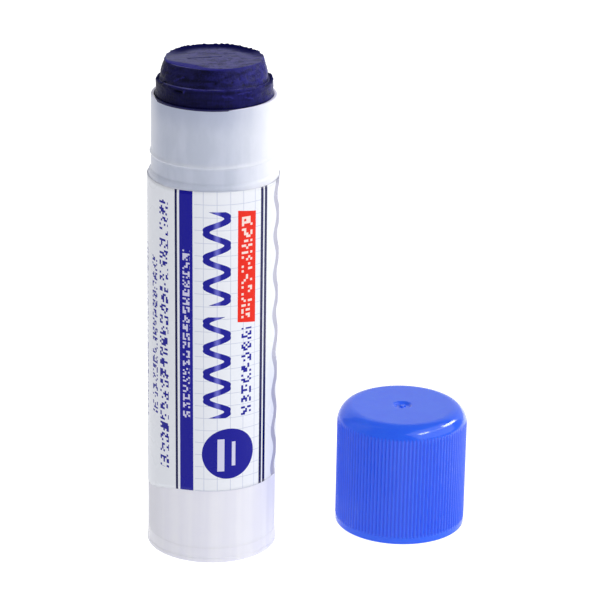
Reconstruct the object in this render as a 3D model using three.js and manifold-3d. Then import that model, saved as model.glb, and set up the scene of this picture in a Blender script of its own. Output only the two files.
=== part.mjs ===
// A glue stick of the 21 g size, standing open with its glue wound out and its cap beside it.
// Millimetres, +Z up. The origin is on the barrel's axis, on the surface that the stick stands on.
// Turning the dial clockwise, seen from below, screws the carrier and the glue up the barrel.
import * as THREE from 'three';
import { mergeVertices } from 'three/addons/utils/BufferGeometryUtils.js';
import Module from 'manifold-3d';

const wasm = await Module();
wasm.setup();

// Facets round a turned piece, and round the screw
const facets = 48;
const screwFacets = 12;

// Clearances
const runningGap = 0.3; // round what turns, slides or screws
const seatGap = 0.3; // between two pieces that sit on each other
const filmGap = 0.05; // the adhesive under the label
const boreGap = 0.45; // between the screw's crests and the hole up the glue
const capSlip = 0.1; // between the snap bead and the cap
const sealSlip = 0.25; // between the barrel's mouth and the cap's seal

// Barrel
const barrelRadius = 12;
const barrelWall = 1.18;
const neckWall = 0.6;
const shoulderHeight = 72.9; // where the straight body ends
const shoulderRound = 0.9;
const neckLength = 13.9;
const rimBevel = 0.3;
const beadHeight = 3.1; // of the snap bead over the shoulder
const beadProud = 0.23;
const beadWidth = 1.1;
const slotCount = 2;
const slotWidth = 1.9;
const slotDepth = 0.65;
const slotEndBelowShoulder = 1.1;

// Label
const labelFilm = 0.12;
const labelStart = 14.4; // height of its lower edge
const labelTopMargin = 0.1;

// Dial, the foot that turns
const flangeHeight = 2.7;
const flangeProud = 0.2;
const flangeRound = 0.45;
const footRing = 1.4;
const footPad = 4; // radius of the flat boss in the middle of the underside
const recessDepth = 0.8;
const dialFloor = 1.4;
const plugHeight = 9.3; // over the flange
const plugWall = 1.2;
const plugLeadIn = 0.5;
const snapHeight = 5.3; // of the retaining bead over the flange
const snapProud = 0.53;
const snapWidth = 1;
const hubWall = 1.3;
const dialWebs = 4;
const dialWebHeight = 3.6;
const dialWebThickness = 0.9;

// Spindle, the screw
const spindleRadius = 2.2; // of its core
const threadDepth = 0.7;
const threadLead = 5;
const threadRootWidth = 1.9;
const threadCrestWidth = 0.9;
const threadSunk = 0.3; // how far the ridge's foot lies inside the core
const footAcrossFlats = 4.6;
const collarOverlap = 0.9; // of the collar over the hub's socket
const collarHeight = 0.9;
const tipBevel = 0.6;
const nutBite = 5.6; // how much of the nut is still on the screw at the top of its travel

// Carrier, the cup that the screw moves
const carrierWall = 0.9;
const carrierFloor = 1.5;
const cupDepth = 8;
const lipDepth = 1.2;
const lipInset = 0.4;
const nutWall = 1.6;
const carrierWebs = 4;
const carrierWebHeight = 5;
const carrierWebThickness = 0.9;
const finLength = 5.6;

// Travel of the carrier from where it stands here
const retractTravel = 12;
const mouthMargin = 2; // between the carrier's lip and the barrel's rim at the top

// Glue
const boreCone = 1.6; // the pointed end of the screw's hole
const glueNose = 9.05; // of solid glue over it
const wornHeight = 4.1; // of the worn end over the straight column
const wornTop = 2.05; // how far its flat end lies inside the column's radius
const wornLedge = 0.9; // and the foot of its slope
const ledgeHeight = 0.9;
const ledgeRound = 0.15;
const endDoming = 0.15;

// Cap
const capWall = 0.65;
const capTopWall = 1.2;
const capFlare = 0.05; // how far its ribs stand over the smooth band
const capHeight = 23.7;
const capRound = 3.7; // of the edge round its top
const capRoundEnd = 67; // angle at which the flat top cuts the round edge off, in degrees
const capBand = 1.2; // smooth band at the mouth
const ribCount = 106;
const ribDepth = 0.18;
const ribRunOut = 0.25; // height over which a rib rises from the band
const ribEndAngle = 22; // how far the ribs climb the round edge, in degrees
const sealWall = 0.7;
const sealReach = 2.2; // below the barrel's rim, with the cap on
const channelRoof = 3.6; // from the cap's top to the roof beside the seal
const gateDimple = 1.3;
const gateDepth = 0.3;
const gateNub = 0.45;
const capStandOff = 12.7; // between the stick's foot and the cap beside it
const capBearing = 15.05; // direction of the cap, in degrees from +X

// Levels and radii that follow
const boreRadius = barrelRadius - barrelWall;
const neckRadius = boreRadius + neckWall;
const neckStart = shoulderHeight + shoulderRound;
const rimHeight = neckStart + neckLength;
const barrelFoot = flangeHeight + seatGap;
const slotRadius = boreRadius + slotDepth;
const slotTop = shoulderHeight - slotEndBelowShoulder;
const slideRadius = boreRadius - runningGap; // of what runs in the bore

const flangeRadius = barrelRadius + flangeProud;
const dialFloorTop = recessDepth + dialFloor;
const plugTop = flangeHeight + plugHeight;
const snapLevel = flangeHeight + snapHeight;
const snapRadius = slideRadius + snapProud;
const hubTop = plugTop - collarHeight - seatGap;
const socketAcrossFlats = footAcrossFlats + 2 * runningGap;
const socketRadius = socketAcrossFlats / 2 / Math.cos(Math.PI / 6);
const hubRadius = socketRadius + hubWall;

const crestRadius = spindleRadius + threadDepth;
const nutRadius = crestRadius + runningGap + nutWall;
const carrierBottom = plugTop + seatGap + retractTravel;
const extendTravel = slotTop - runningGap - finLength - carrierBottom;
const cupTop = rimHeight - mouthMargin - extendTravel;
const floorTop = cupTop - cupDepth;
const floorBottom = floorTop - carrierFloor;
const cupRadius = slideRadius - carrierWall;

const collarBottom = hubTop + seatGap;
const collarTop = collarBottom + collarHeight;
const spindleTop = carrierBottom + extendTravel + nutBite;
const threadStart = collarTop + threadRootWidth / 2;
const threadEnd = spindleTop - tipBevel - threadRootWidth / 2;

const glueBottom = floorTop + seatGap;
const glueBoreEnd = spindleTop + retractTravel + seatGap;
const glueTop = glueBoreEnd + boreCone + glueNose;

const capInner = neckRadius + beadProud + capSlip;
const capRadius = capInner + capWall + capFlare;
const sealRadius = boreRadius - sealSlip;
const sealBottom = rimHeight - neckStart - sealReach;
const capDistance = flangeRadius + capStandOff + capRadius;

// A solid from a closed geometry, and back
function solid(geometry) {
  const bare = geometry.clone();
  bare.deleteAttribute('normal');
  bare.deleteAttribute('uv');
  const merged = mergeVertices(bare, 1e-5);
  const index = Array.from(merged.index.array);
  const triangles = [];
  for (let i = 0; i < index.length; i += 3) {
    const [a, b, c] = index.slice(i, i + 3);
    if (a !== b && b !== c && c !== a) triangles.push(a, b, c);
  }
  const mesh = new wasm.Mesh({
    numProp: 3,
    vertProperties: new Float32Array(merged.attributes.position.array),
    triVerts: new Uint32Array(triangles),
  });
  return new wasm.Manifold(mesh);
}

function geometryOf(manifold) {
  const mesh = manifold.getMesh();
  const geometry = new THREE.BufferGeometry();
  geometry.setAttribute('position', new THREE.BufferAttribute(mesh.vertProperties, 3));
  geometry.setIndex(new THREE.BufferAttribute(mesh.triVerts, 1));
  geometry.computeVertexNormals();
  return geometry;
}

// A profile of [radius, height] turned about Z. It runs up the outside, and down the bore if
// there is one, so the faces point out.
function turned(profile, around = facets) {
  const points = profile.map(([radius, height]) => new THREE.Vector2(radius, height));
  return new THREE.LatheGeometry(points, around).rotateX(Math.PI / 2);
}

// Points on a round from one angle to another, in degrees, in the profile's plane
function round(radius, height, size, from, to, steps = 3) {
  const points = [];
  for (let step = 0; step <= steps; step += 1) {
    const angle = THREE.MathUtils.degToRad(from + ((to - from) * step) / steps);
    points.push([radius + size * Math.cos(angle), height + size * Math.sin(angle)]);
  }
  return points;
}

// A box from one height to another, from one radius to another, centred on the +X direction
function radialBox(inner, outer, width, bottom, top) {
  const box = new THREE.BoxGeometry(outer - inner, width, top - bottom);
  return solid(box.translate((inner + outer) / 2, 0, (bottom + top) / 2));
}

// The same solid repeated evenly about Z, as one
function spaced(piece, count, offset = 0) {
  let all = null;
  for (let i = 0; i < count; i += 1) {
    const copy = piece.rotate([0, 0, offset + (360 * i) / count]);
    all = all ? all.add(copy) : copy;
  }
  return all;
}

// A hexagonal prism
function hexagon(acrossFlats, bottom, top) {
  const radius = acrossFlats / 2 / Math.cos(Math.PI / 6);
  const prism = new THREE.CylinderGeometry(radius, radius, top - bottom, 6);
  return solid(prism.rotateX(Math.PI / 2).translate(0, 0, (bottom + top) / 2));
}

// The ridge of the left-hand thread, grown by a clearance where it cuts the nut. Its turns are
// counted from threadStart, so that the ridge and the groove are in mesh.
function threadRidge(root, bottom, top, clearance = 0) {
  const crest = crestRadius + clearance;
  const section = [
    [root, -threadRootWidth / 2 - clearance],
    [crest, -threadCrestWidth / 2 - clearance],
    [crest, threadCrestWidth / 2 + clearance],
    [root, threadRootWidth / 2 + clearance],
  ];
  const steps = Math.ceil(((top - bottom) / threadLead) * screwFacets);
  const positions = [];
  const index = [];
  for (let step = 0; step <= steps; step += 1) {
    const height = bottom + ((top - bottom) * step) / steps;
    const angle = (-2 * Math.PI * (height - threadStart)) / threadLead;
    for (const [radius, offset] of section) {
      positions.push(radius * Math.cos(angle), radius * Math.sin(angle), height + offset);
    }
  }
  for (let step = 0; step < steps; step += 1) {
    for (let side = 0; side < 4; side += 1) {
      const a = step * 4 + side;
      const b = step * 4 + ((side + 1) % 4);
      index.push(a, b, a + 4, b, b + 4, a + 4);
    }
  }
  const last = steps * 4;
  index.push(0, 2, 1, 0, 3, 2);
  index.push(last, last + 1, last + 2, last, last + 2, last + 3);
  const geometry = new THREE.BufferGeometry();
  geometry.setAttribute('position', new THREE.Float32BufferAttribute(positions, 3));
  geometry.setIndex(index);
  return solid(geometry);
}

// Barrel: a tube with a thinner neck, a snap bead for the cap, a groove for the dial's bead and
// two slots that keep the carrier from turning
function barrel() {
  const grooveHalf = snapWidth / 2 + runningGap;
  const grooveRadius = snapRadius + runningGap;
  const beadLevel = neckStart + beadHeight;
  const tube = solid(turned([
    [boreRadius, barrelFoot],
    [barrelRadius, barrelFoot],
    ...round(barrelRadius - shoulderRound, shoulderHeight, shoulderRound, 0, 50),
    [neckRadius, neckStart],
    [neckRadius, beadLevel - beadWidth / 2],
    [neckRadius + beadProud, beadLevel],
    [neckRadius, beadLevel + beadWidth / 2],
    [neckRadius, rimHeight - rimBevel],
    [neckRadius - rimBevel, rimHeight],
    [boreRadius, rimHeight],
    [boreRadius, snapLevel + grooveHalf],
    [grooveRadius, snapLevel + grooveHalf - (grooveRadius - boreRadius)],
    [grooveRadius, snapLevel - grooveHalf + (grooveRadius - boreRadius)],
    [boreRadius, snapLevel - grooveHalf],
    [boreRadius, barrelFoot],
  ]));
  const slot = radialBox(boreRadius - 1, slotRadius, slotWidth, barrelFoot - 1, slotTop);
  return geometryOf(tube.subtract(spaced(slot, slotCount)));
}

function label() {
  const inner = barrelRadius + filmGap;
  const outer = inner + labelFilm;
  const top = shoulderHeight - labelTopMargin;
  return turned([[inner, labelStart], [outer, labelStart], [outer, top], [inner, top], [inner, labelStart]]);
}

// Dial: a flange under the barrel, a plug that snaps into it and a hub for the spindle
function dial() {
  const plugInner = slideRadius - plugWall;
  const body = solid(turned([
    [0, 0],
    [flangeRadius - flangeRound, 0],
    ...round(flangeRadius - flangeRound, flangeRound, flangeRound, -45, 0, 2),
    ...round(flangeRadius - flangeRound, flangeHeight - flangeRound, flangeRound, 0, 90, 3),
    [slideRadius, flangeHeight],
    [slideRadius, snapLevel - snapWidth / 2],
    [snapRadius, snapLevel],
    [slideRadius, snapLevel + snapWidth / 2],
    [slideRadius, plugTop - plugLeadIn],
    [slideRadius - plugLeadIn, plugTop],
    [plugInner, plugTop],
    [plugInner, dialFloorTop],
    [hubRadius, dialFloorTop],
    [hubRadius, hubTop],
    [0, hubTop],
  ]));
  const recess = solid(turned([
    [footPad, -1],
    [flangeRadius - flangeRound - footRing, -1],
    [flangeRadius - flangeRound - footRing, recessDepth],
    [footPad, recessDepth],
    [footPad, -1],
  ]));
  const webTop = dialFloorTop + dialWebHeight;
  const web = radialBox(socketRadius + hubWall / 2, plugInner + plugWall / 2, dialWebThickness,
    dialFloorTop - dialFloor / 2, webTop);
  const socket = hexagon(socketAcrossFlats, dialFloorTop, hubTop + 1);
  return geometryOf(body.add(spaced(web, dialWebs)).subtract(recess).subtract(socket));
}

// Spindle: a hexagonal foot, a collar and a left-hand screw
function spindle() {
  const foot = hexagon(footAcrossFlats, dialFloorTop + seatGap, collarBottom + collarHeight / 2);
  const shaft = solid(turned([
    [0, collarBottom],
    [socketRadius + collarOverlap, collarBottom],
    [socketRadius + collarOverlap, collarTop],
    [spindleRadius, collarTop],
    [spindleRadius, spindleTop - tipBevel],
    [spindleRadius - tipBevel, spindleTop],
    [0, spindleTop],
  ], screwFacets));
  const thread = threadRidge(spindleRadius - threadSunk, threadStart, threadEnd);
  return geometryOf(foot.add(shaft).add(thread));
}

// Carrier: a cup over a skirt, with a threaded nut in the middle and fins that run in the slots
function carrier() {
  const shell = solid(turned([
    [0, floorBottom],
    [cupRadius, floorBottom],
    [cupRadius, carrierBottom],
    [slideRadius, carrierBottom],
    [slideRadius, cupTop],
    [cupRadius - lipInset, cupTop],
    [cupRadius - lipInset, cupTop - lipDepth],
    [cupRadius, cupTop - lipDepth - lipInset],
    [cupRadius, floorTop],
    [0, floorTop],
  ]));
  const nut = solid(turned([
    [0, carrierBottom],
    [nutRadius, carrierBottom],
    [nutRadius, floorBottom + carrierFloor / 2],
    [0, floorBottom + carrierFloor / 2],
  ], screwFacets * 2));
  const web = radialBox(crestRadius + runningGap + nutWall / 2, slideRadius - carrierWall / 2,
    carrierWebThickness, floorBottom - carrierWebHeight, floorBottom + carrierFloor / 2);
  const fin = radialBox(slideRadius - carrierWall / 2, slotRadius - runningGap,
    slotWidth - 2 * runningGap, carrierBottom, carrierBottom + finLength);
  const bore = solid(turned([
    [0, carrierBottom - 1],
    [spindleRadius + runningGap, carrierBottom - 1],
    [spindleRadius + runningGap, floorTop + 1],
    [0, floorTop + 1],
  ], screwFacets));
  const reach = threadRootWidth / 2 + runningGap;
  const groove = threadRidge(spindleRadius, carrierBottom - reach - 1, floorTop + reach + 1, runningGap);
  const webs = spaced(web, carrierWebs, 180 / carrierWebs);
  const body = shell.add(nut).add(webs).add(spaced(fin, slotCount));
  return geometryOf(body.subtract(bore).subtract(groove));
}

// Glue: a column that fills the cup and the bore, with a hole for the screw and a worn end
function glue() {
  const inCup = cupRadius - seatGap;
  const inLip = inCup - lipInset;
  const columnTop = glueTop - wornHeight;
  const hole = crestRadius + boreGap;
  return turned([
    [hole, glueBottom],
    [inCup, glueBottom],
    [inCup, cupTop - lipDepth - lipInset - seatGap],
    [inLip, cupTop - lipDepth - seatGap],
    [inLip, cupTop + seatGap],
    [slideRadius, cupTop + seatGap],
    [slideRadius, columnTop],
    [slideRadius - ledgeRound, columnTop + ledgeRound],
    [slideRadius - wornLedge, columnTop + ledgeHeight],
    [slideRadius - wornTop, glueTop - endDoming],
    [0, glueTop],
    [0, glueBoreEnd + boreCone],
    [hole, glueBoreEnd],
    [hole, glueBottom],
  ]);
}

// Cap: a ribbed shell with a round edge, a seal that plugs the barrel's mouth and, in the middle
// of its top, the dimple and nub that its mould leaves
function cap() {
  const edge = capRadius - capRound;
  const roundStart = capHeight - capRound * Math.sin(THREE.MathUtils.degToRad(capRoundEnd));
  const ribsEnd = roundStart + capRound * Math.sin(THREE.MathUtils.degToRad(ribEndAngle));
  const profile = [
    [0, 0],
    [capRadius - capFlare, 0],
    [capRadius - capFlare, capBand],
    [capRadius, capBand + ribRunOut],
    [capRadius, roundStart],
    ...round(edge, roundStart, capRound, ribEndAngle, capRoundEnd, 3),
    [0, capHeight],
  ];
  const shell = turned(profile, 2 * ribCount);
  const position = shell.attributes.position;
  for (let i = 0; i < position.count; i += 1) {
    const between = Math.floor(i / profile.length) % 2 === 1;
    const height = position.getZ(i);
    if (between && height > capBand && height < ribsEnd) {
      const radius = Math.hypot(position.getX(i), position.getY(i));
      const shrink = (radius - ribDepth) / radius;
      position.setX(i, position.getX(i) * shrink);
      position.setY(i, position.getY(i) * shrink);
    }
  }
  const hollow = solid(turned([
    [0, -1],
    [capInner, -1],
    [capInner, capHeight - channelRoof],
    [sealRadius, capHeight - channelRoof],
    [sealRadius, sealBottom],
    [sealRadius - sealWall, sealBottom],
    [sealRadius - sealWall, capHeight - capTopWall],
    [0, capHeight - capTopWall],
  ]));
  const dimple = solid(turned([
    [0, capHeight - gateDepth],
    [gateDimple - gateDepth, capHeight - gateDepth],
    [gateDimple + gateDepth, capHeight + gateDepth],
    [0, capHeight + gateDepth],
  ], 24));
  const nub = solid(turned([
    [0, capHeight - 2 * gateDepth],
    [gateNub, capHeight - 2 * gateDepth],
    [gateNub / 2, capHeight],
    [0, capHeight],
  ], 12));
  return geometryOf(solid(shell).subtract(hollow).subtract(dimple).add(nub));
}

function plastic(color, roughness) {
  return new THREE.MeshStandardMaterial({ color, roughness, metalness: 0 });
}

function piece(name, geometry, material) {
  const mesh = new THREE.Mesh(geometry, material);
  mesh.name = name;
  return mesh;
}

const glueStick = new THREE.Group();
glueStick.add(
  piece('barrel', barrel(), plastic(0xd8daea, 0.35)),
  piece('label', label(), plastic(0xf0f1f6, 0.3)),
  piece('dial', dial(), plastic(0xd6d8e8, 0.4)),
  piece('spindle', spindle(), plastic(0xe4e4e8, 0.45)),
  piece('carrier', carrier(), plastic(0xe8e8ec, 0.45)),
  piece('glue', glue(), plastic(0x221e58, 0.55)),
);

const standing = piece('cap', cap(), plastic(0x2f5cf0, 0.3));
const bearing = THREE.MathUtils.degToRad(capBearing);
standing.position.set(capDistance * Math.cos(bearing), capDistance * Math.sin(bearing), 0);
glueStick.add(standing);

export default glueStick;
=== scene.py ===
# %% [markdown]
# # Dressing a glue stick
# A twist-up glue stick stands open on its foot, and its ribbed cap stands beside it. The packed
# model gives us the real sizes, the joints and simple solids. Here we give each piece its true
# surface: milky plastic, printed film, glossy blue plastic and a worn column of glue.
# We start by loading that model. It is our fixed frame, and nothing in it is moved.

# %% Load the frame
import math

import bmesh
import bpy
from mathutils import Matrix, Vector, noise


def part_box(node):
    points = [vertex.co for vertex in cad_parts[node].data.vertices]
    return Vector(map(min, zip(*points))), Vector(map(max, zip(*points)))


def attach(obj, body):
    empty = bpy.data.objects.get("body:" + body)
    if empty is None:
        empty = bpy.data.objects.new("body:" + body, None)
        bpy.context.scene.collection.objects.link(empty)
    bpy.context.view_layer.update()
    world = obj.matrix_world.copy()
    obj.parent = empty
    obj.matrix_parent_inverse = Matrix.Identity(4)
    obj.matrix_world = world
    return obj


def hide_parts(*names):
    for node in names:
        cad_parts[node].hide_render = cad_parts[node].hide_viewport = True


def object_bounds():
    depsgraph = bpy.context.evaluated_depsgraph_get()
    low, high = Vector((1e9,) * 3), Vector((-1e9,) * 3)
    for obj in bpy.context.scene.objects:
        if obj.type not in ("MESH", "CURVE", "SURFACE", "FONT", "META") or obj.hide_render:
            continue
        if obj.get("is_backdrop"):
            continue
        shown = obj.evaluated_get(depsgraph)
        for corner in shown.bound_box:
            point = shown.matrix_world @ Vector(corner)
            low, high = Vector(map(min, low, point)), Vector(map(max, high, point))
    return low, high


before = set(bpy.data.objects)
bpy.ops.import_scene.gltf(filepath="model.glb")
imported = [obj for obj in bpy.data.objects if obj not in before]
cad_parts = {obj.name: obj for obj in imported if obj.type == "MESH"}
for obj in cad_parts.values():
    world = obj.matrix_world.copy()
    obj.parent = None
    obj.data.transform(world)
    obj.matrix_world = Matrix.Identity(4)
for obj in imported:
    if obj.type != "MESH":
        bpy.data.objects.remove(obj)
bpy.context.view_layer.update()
print("pieces in the frame:", sorted(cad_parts))

# %% [markdown]
# ## Sizes
# Blender works in metres and a glue stick is drawn in millimetres, so one named value turns
# the one into the other. Sizes could all be typed in, but then they could drift away from the
# packed model. So what the frame knows, we ask it: a piece's box tells its radius and its lowest
# and highest points. Only the finer sizes are written down, each where it is needed.

# %% Read the main sizes from the frame
MM = 0.001


def heights(node):
    """The lowest and the highest level of a piece, in millimetres."""
    low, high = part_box(node)
    return low.z / MM, high.z / MM


def radius_of(node):
    """The outer radius of a piece, in millimetres."""
    low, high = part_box(node)
    return (high.x - low.x) / 2 / MM


barrel_radius = radius_of("barrel")
barrel_foot, rim = heights("barrel")
glue_bottom, glue_top = heights("glue")
cap_radius = radius_of("cap")
cap_top = heights("cap")[1]
cap_low, cap_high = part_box("cap")
cap_axis = (cap_low + cap_high) / 2
cap_axis.z = 0
print(f"barrel {2 * barrel_radius:.1f} mm across, rim at {rim:.1f} mm")
print(f"cap {2 * cap_radius:.1f} mm across, top at {cap_top:.1f} mm")

# %% [markdown]
# ## The camera
# The picture was taken from a little above the stick, from half a metre away. The camera could be
# pointed at a target, but it is also rolled by a degree, so we build its turning from the two
# angles. A long lens keeps the uprights nearly parallel.

# %% Place the camera
camera_data = bpy.data.cameras.new("camera")
camera_data.sensor_width = 36
camera_data.lens = 168.94
camera = bpy.data.objects.new("camera", camera_data)
bpy.context.scene.collection.objects.link(camera)
bpy.context.scene.camera = camera
camera_place = Vector((16.12, -489.24, 227.18)) * MM
camera_pitch = math.radians(20.095)
camera_roll = math.radians(0.99)
tilt = Matrix.Rotation(math.pi / 2 - camera_pitch, 4, "X")
roll = Matrix.Rotation(camera_roll, 4, "Z")
camera.matrix_world = Matrix.Translation(camera_place) @ tilt @ roll
camera_data.clip_start = 0.01
print("camera to barrel:", round(camera_place.length, 3), "m")

# %% [markdown]
# ## Materials from nodes
# A finish in Blender is a small network of nodes. It could be wired by hand in the editor, but a
# written network can be read, repeated and changed by one number. Two helpers come first: one
# turns the colours of a screen into the linear light that shaders expect, the other adds a node
# together with its settings and inputs.

# %% Helpers: colours and nodes
def colour(red, green, blue):
    """A colour given in the screen's 0 to 255, as the linear numbers that a shader expects."""
    def linear(level):
        share = level / 255
        return share / 12.92 if share <= 0.04045 else ((share + 0.055) / 1.055) ** 2.4
    return (linear(red), linear(green), linear(blue), 1.0)


def add_node(tree, kind, inputs=None, **settings):
    """Adds a node. An input is given by its name or number, as a value or as another socket."""
    node = tree.nodes.new(kind)
    for name, value in settings.items():
        setattr(node, name, value)
    for name, value in (inputs or {}).items():
        if isinstance(value, Field):
            value = value.socket
        if isinstance(value, bpy.types.NodeSocket):
            tree.links.new(value, node.inputs[name])
        else:
            node.inputs[name].default_value = value
    return node


print("half grey on the screen is", round(colour(128, 128, 128)[0], 3), "in linear light")

# %% [markdown]
# A pattern is a sum of numbers that vary over the surface, and each step of the sum is one more
# node. Written out, that hides the pattern behind its wiring. So a small class stands for such a
# number: it lets us write a sum or a ramp as usual, and adds the nodes by itself.

# %% Helper: a number that varies over the surface
class Field:
    """A number that varies over the surface, with the sums that a pattern needs."""

    def __init__(self, tree, socket):
        self.tree = tree
        self.socket = socket

    def math(self, operation, *others):
        values = {index + 1: other for index, other in enumerate(others)}
        node = add_node(self.tree, "ShaderNodeMath", {0: self, **values}, operation=operation)
        return Field(self.tree, node.outputs[0])

    def __add__(self, other):
        return self.math("ADD", other)

    def __sub__(self, other):
        return self.math("SUBTRACT", other)

    def __mul__(self, other):
        return self.math("MULTIPLY", other)

    def __truediv__(self, other):
        return self.math("DIVIDE", other)

    def near(self, centre, reach):
        """1 where the number lies within reach of centre, and 0 elsewhere."""
        return self.math("COMPARE", centre, reach)

    def between(self, low, high):
        return self.near((low + high) / 2, (high - low) / 2)

    def either(self, other):
        return self.math("MAXIMUM", other)

    def ramp(self, low, high, start=0.0, end=1.0):
        """Goes smoothly from start to end as the number goes from low to high."""
        limits = {"From Min": low, "From Max": high, "To Min": start, "To Max": end}
        node = add_node(self.tree, "ShaderNodeMapRange", {"Value": self, **limits},
                        interpolation_type="SMOOTHSTEP")
        return Field(self.tree, node.outputs["Result"])

    def hump(self, centre, reach):
        """A soft hump: 1 where the number is centre, and 0 from reach away."""
        return (self - centre).math("ABSOLUTE").ramp(0.0, reach, 1.0, 0.0)


print("a field can do:", [name for name in vars(Field) if not name.startswith("_")])

# %% [markdown]
# Every finish here begins with the same few steps: an empty material with its main shader, a mix
# of two colours, a place on the piece, and noise and relief in millimetres. Places are Object
# coordinates. They stay fixed to a piece when it moves, which the picture's own coordinates
# would not.

# %% Helpers: mix, material, place, grain and relief
def mix(tree, share, first, second):
    """A colour that goes from first to second as share goes from 0 to 1."""
    node = add_node(tree, "ShaderNodeMix", {0: share, 6: first, 7: second}, data_type="RGBA")
    return node.outputs[2]


def new_material(name):
    """An empty material: its node tree and its main shader."""
    material = bpy.data.materials.new(name)
    material.use_nodes = True
    tree = material.node_tree
    tree.nodes.clear()
    shader = add_node(tree, "ShaderNodeBsdfPrincipled")
    output = add_node(tree, "ShaderNodeOutputMaterial")
    tree.links.new(shader.outputs["BSDF"], output.inputs["Surface"])
    return material, tree, shader


def place_on(tree, stretch=(1, 1, 1), centre=(0, 0, 0)):
    """Object coordinates, centred on a point and stretched along the axes."""
    spot = add_node(tree, "ShaderNodeTexCoord").outputs["Object"]
    shift = tuple(-offset * factor for offset, factor in zip(centre, stretch))
    inputs = {"Vector": spot, "Location": shift, "Scale": stretch}
    mapping = add_node(tree, "ShaderNodeMapping", inputs)
    return mapping.outputs["Vector"]


def grain(tree, spot, size, detail=3.0, roughness=0.55):
    """Noise from 0 to 1 with patches of about that size, in millimetres."""
    inputs = {"Vector": spot, "Scale": 1 / (size * MM), "Detail": detail, "Roughness": roughness}
    return Field(tree, add_node(tree, "ShaderNodeTexNoise", inputs).outputs["Fac"])


def bump(tree, height, depth, under=None):
    """A surface raised by up to depth millimetres where the height field is 1."""
    inputs = {"Height": height, "Distance": depth * MM, "Strength": 1.0}
    if under is not None:
        inputs["Normal"] = under
    return add_node(tree, "ShaderNodeBump", inputs).outputs["Normal"]


print("grain of 1 mm asks for a noise scale of", 1 / MM)

# %% [markdown]
# ## Milky plastic
# Barrel and foot are moulded in natural polypropylene. It looks milky because light goes a
# little way into it. A true volume inside the wall would show that, but it is slow and grainy,
# so the shader's subsurface scattering stands in for it. Slow upright streaks in colour and
# gloss are the flow lines of the mould. The foot has no more than this.

# %% Material: milky plastic
flow_lines = (1, 1, 0.03)
scatter_depth = 0.35
streak_relief = 0.01
fine_relief = 0.002


def milky_plastic(name, shiny, dull):
    """A milky plastic between two roughnesses. Returns its material, tree, shader and colour."""
    material, tree, shader = new_material(name)
    streaks = grain(tree, place_on(tree, stretch=flow_lines), 2.2, 2)
    clouds = grain(tree, place_on(tree), 5.0, 3)
    fine = grain(tree, place_on(tree), 0.35, 2)
    flow = (streaks * 0.8 + clouds * 0.2).ramp(0.38, 0.62)
    base = mix(tree, flow, colour(240, 240, 251), colour(234, 234, 247))
    gloss = (streaks * 0.6 + clouds * 0.4).ramp(0.3, 0.7, shiny, dull)
    relief = bump(tree, streaks, streak_relief, bump(tree, fine, fine_relief))
    tree.links.new(base, shader.inputs["Base Color"])
    tree.links.new(gloss.socket, shader.inputs["Roughness"])
    tree.links.new(relief, shader.inputs["Normal"])
    shader.inputs["IOR"].default_value = 1.49
    shader.inputs["Subsurface Weight"].default_value = 0.25
    shader.inputs["Subsurface Radius"].default_value = (1.0, 1.0, 1.15)
    shader.inputs["Subsurface Scale"].default_value = scatter_depth * MM
    return material, tree, shader, base


foot_plastic = milky_plastic("milky_foot_plastic", 0.14, 0.24)[0]
print("foot material", foot_plastic.name)

# %% [markdown]
# The barrel's neck is thinner, and the dark blue glue stands right behind it, so it looks a cool
# grey. Its colour also holds painted light: painted shade just under the rim, painted light on
# the right, where the light comes in, a painted reflection that makes its left edge a little
# paler, and painted highlights on the rim and on the bead, whose thicker wall also hides more of
# the glue. A shader that lets the glue shine through would be noisy, so the colour itself
# follows the height and the direction.

# %% Material: the colour of the neck
bead_level = 76.9
neck_level = 72.5
neck_blend = 0.4
light_from = 3.2
light_to = 13.2


def neck_colour(tree, across, height):
    """The neck's cool grey, with painted shade and light, and painted highlights on its edges."""
    clouds = grain(tree, place_on(tree, stretch=(1, 1, 0.4)), 3.0, 3)
    shadow = mix(tree, clouds.ramp(0.35, 0.65), colour(192, 199, 217), colour(201, 207, 225))
    # painted shade: the neck is darker just under the rim
    under_rim_shade = height.ramp((rim - 5.5) * MM, (rim - 0.5) * MM) * 0.7
    shadow = mix(tree, under_rim_shade, shadow, colour(172, 180, 205))
    # painted light: the side towards the light is painted white
    lit = (across + clouds * (2.0 * MM)).ramp(light_from * MM, light_to * MM)
    cool = mix(tree, lit, shadow, colour(242, 244, 254))
    # painted reflection: the left edge is painted paler
    painted_left_reflection = across.hump(-11.4 * MM, 2.2 * MM) * 0.7
    cool = mix(tree, painted_left_reflection, cool, colour(232, 235, 247))
    # painted highlight on the bead, which is also paler because its thicker wall hides the glue
    rubbed = height.hump((bead_level + 0.1) * MM, 0.8 * MM) * 0.3
    cool = mix(tree, rubbed, cool, colour(246, 248, 254))
    # painted highlight along the top edge of the rim
    rim_highlight = height.ramp((rim - 0.25) * MM, rim * MM)
    return mix(tree, rim_highlight, cool, colour(232, 230, 255))


print(f"the neck's colour starts at {neck_level} mm and glows from x = {light_from} mm")

# %% [markdown]
# Glue has been wiped onto the end of the rim. It is too thin to be modelled, so it is painted: a
# band on the flat end of the rim that is full at the front, narrower towards the right, and ends
# at the sides. The barrel's material then puts the milky base, the neck and the smear together.

# %% Material: smeared rim and whole barrel
smear_inner_reach = 10.6
smear_width = 0.9
smear_drop = 0.24


def rim_smear(across, away, height):
    """1 where glue lies on the rim, and 0 elsewhere."""
    radius = (across * across + away * away).math("SQRT")
    half_way = (across / radius).ramp(0.0, 0.95, 1.0, 0.5)
    covered = (away / radius).ramp(0.0, -0.6) * half_way
    mouth = height.math("GREATER_THAN", covered * (-smear_drop * MM) + (rim - 0.05) * MM)
    reach = covered * (smear_width * MM) + smear_inner_reach * MM
    return mouth * (radius - reach).math("LESS_THAN", 0.0)


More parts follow.
